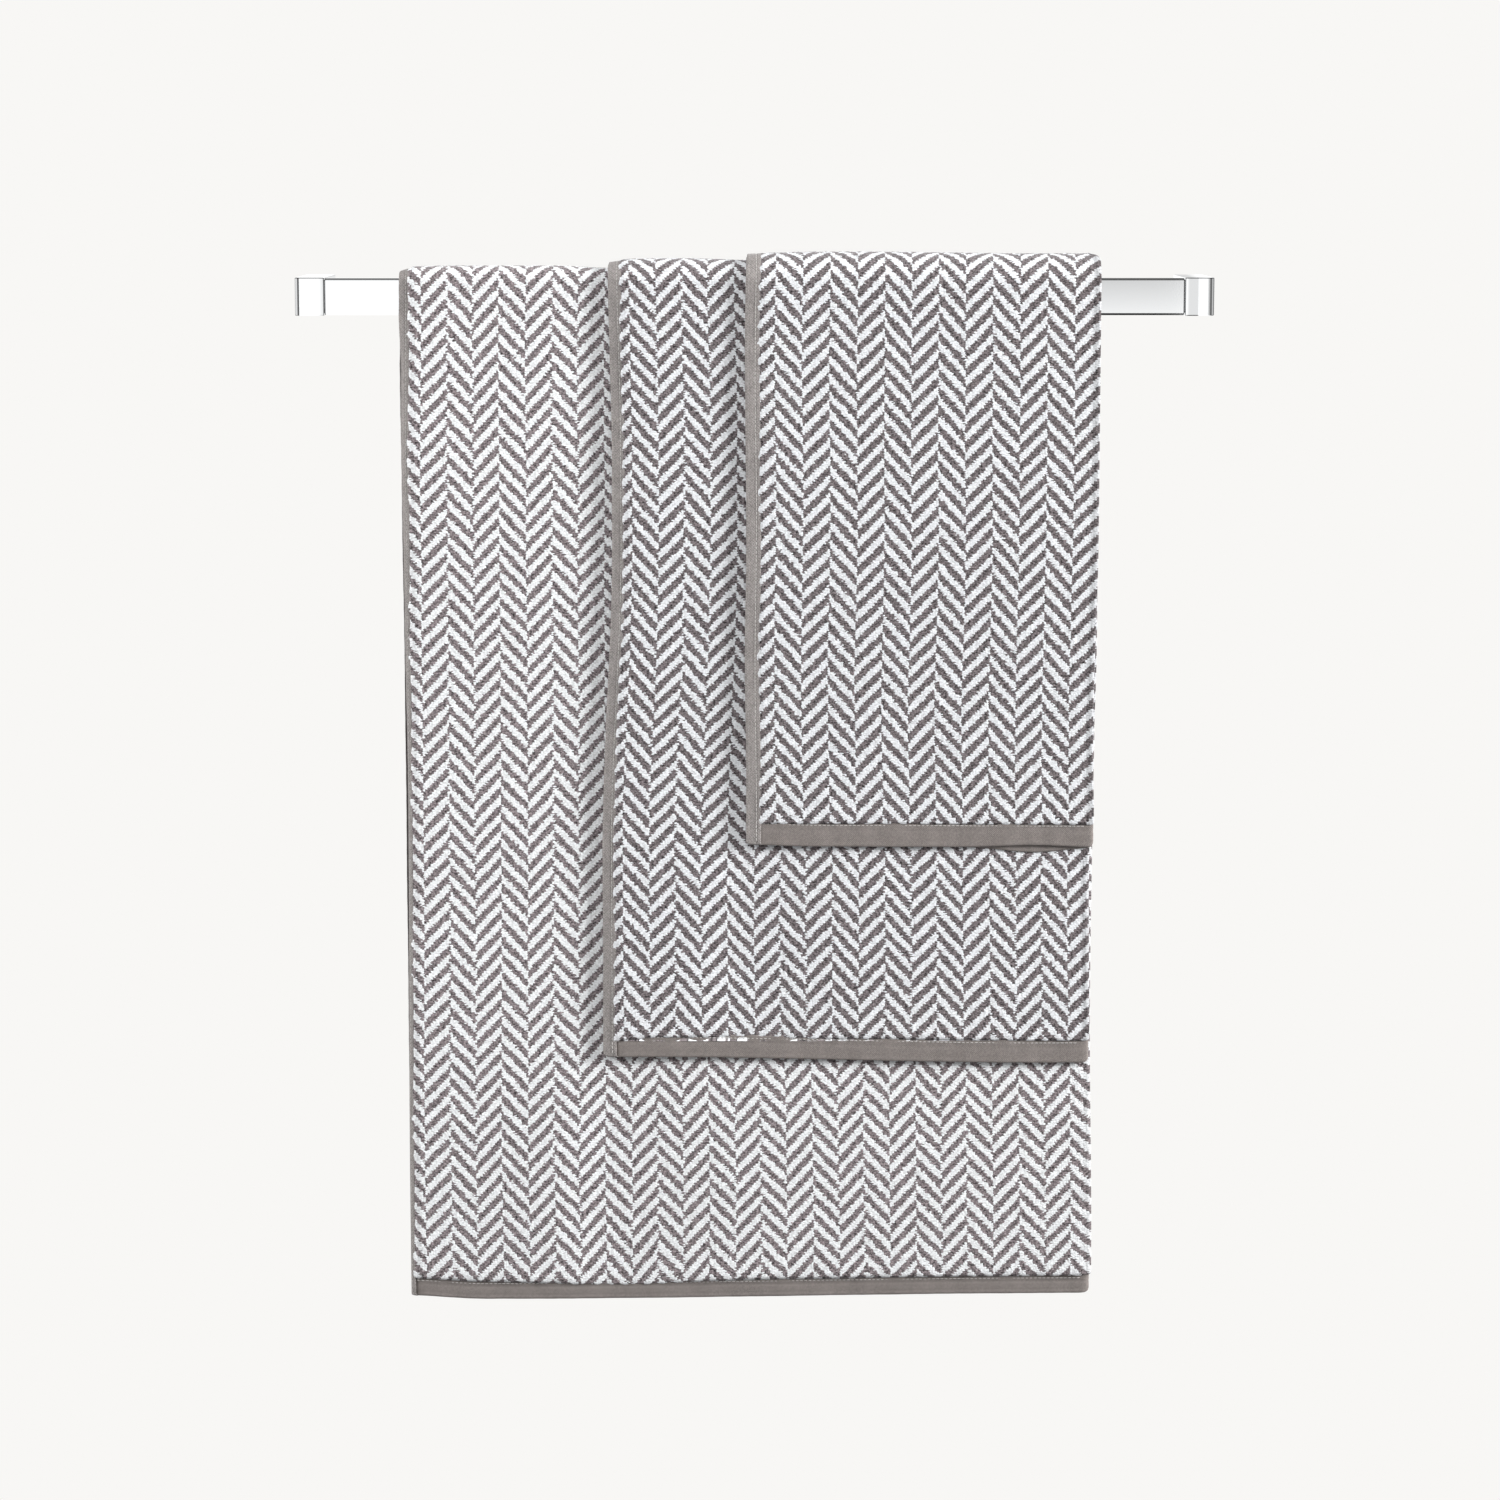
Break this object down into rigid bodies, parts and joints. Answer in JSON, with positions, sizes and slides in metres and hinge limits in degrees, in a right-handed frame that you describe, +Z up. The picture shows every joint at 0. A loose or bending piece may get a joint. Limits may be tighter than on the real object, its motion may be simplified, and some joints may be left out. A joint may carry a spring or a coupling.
{
  "type": "bath towel set on a towel rail",
  "caption": "Bath sheet, bath towel and hand towel in herringbone terry, each folded lengthways and hung in layers over a square chrome wall rail on which they slide.",
  "frame": {"origin": "on the wall, midway between the two posts, level with the towel bar's centreline", "axes": "+Z up along the hanging towels, +X along the bar to the towels' folded edges, +Y into the wall, so the towels face -Y"},
  "size_m": [0.655, 0.1032, 0.7607],
  "materials": {
    "chrome": "polished chrome plate",
    "zinc": "bare die-cast zinc, satin",
    "steel": "dark zinc-plated steel",
    "terry_pile": "looped cotton terry, white and warm grey jacquard herringbone",
    "flat_hem": "flat-woven warm grey cotton, stitched hem",
    "label_satin": "blank woven satin tape"
  },
  "bodies": {
    "rail": {"towel_bar": "chrome", "post_left": "chrome", "bar_spigot_left": "zinc", "wall_plate_left": "zinc", "grub_screw_left": "steel", "post_right": "chrome", "bar_spigot_right": "zinc", "wall_plate_right": "zinc", "grub_screw_right": "steel"},
    "bath_sheet": {"bath_sheet_pile": "terry_pile", "bath_sheet_side_hem_outer": "flat_hem", "bath_sheet_side_hem_inner": "flat_hem", "bath_sheet_end_hem_front": "flat_hem", "bath_sheet_end_hem_back": "flat_hem", "bath_sheet_care_label": "label_satin"},
    "bath_towel": {"bath_towel_pile": "terry_pile", "bath_towel_side_hem_outer": "flat_hem", "bath_towel_side_hem_inner": "flat_hem", "bath_towel_end_hem_front": "flat_hem", "bath_towel_end_hem_back": "flat_hem", "bath_towel_care_label": "label_satin"},
    "hand_towel": {"hand_towel_pile": "terry_pile", "hand_towel_side_hem_outer": "flat_hem", "hand_towel_side_hem_inner": "flat_hem", "hand_towel_end_hem_front": "flat_hem", "hand_towel_end_hem_back": "flat_hem", "hand_towel_care_label": "label_satin"}
  },
  "joints": [
    {"name": "bath_sheet_slide", "type": "slide", "parent": "rail", "child": "bath_sheet", "axis": [1, 0, 0], "range_m": [-0.048, 0.058]},
    {"name": "bath_towel_slide", "type": "slide", "parent": "rail", "child": "bath_towel", "axis": [1, 0, 0], "range_m": [-0.198, 0.058]},
    {"name": "hand_towel_slide", "type": "slide", "parent": "rail", "child": "hand_towel", "axis": [1, 0, 0], "range_m": [-0.298, 0.058]}
  ]
}
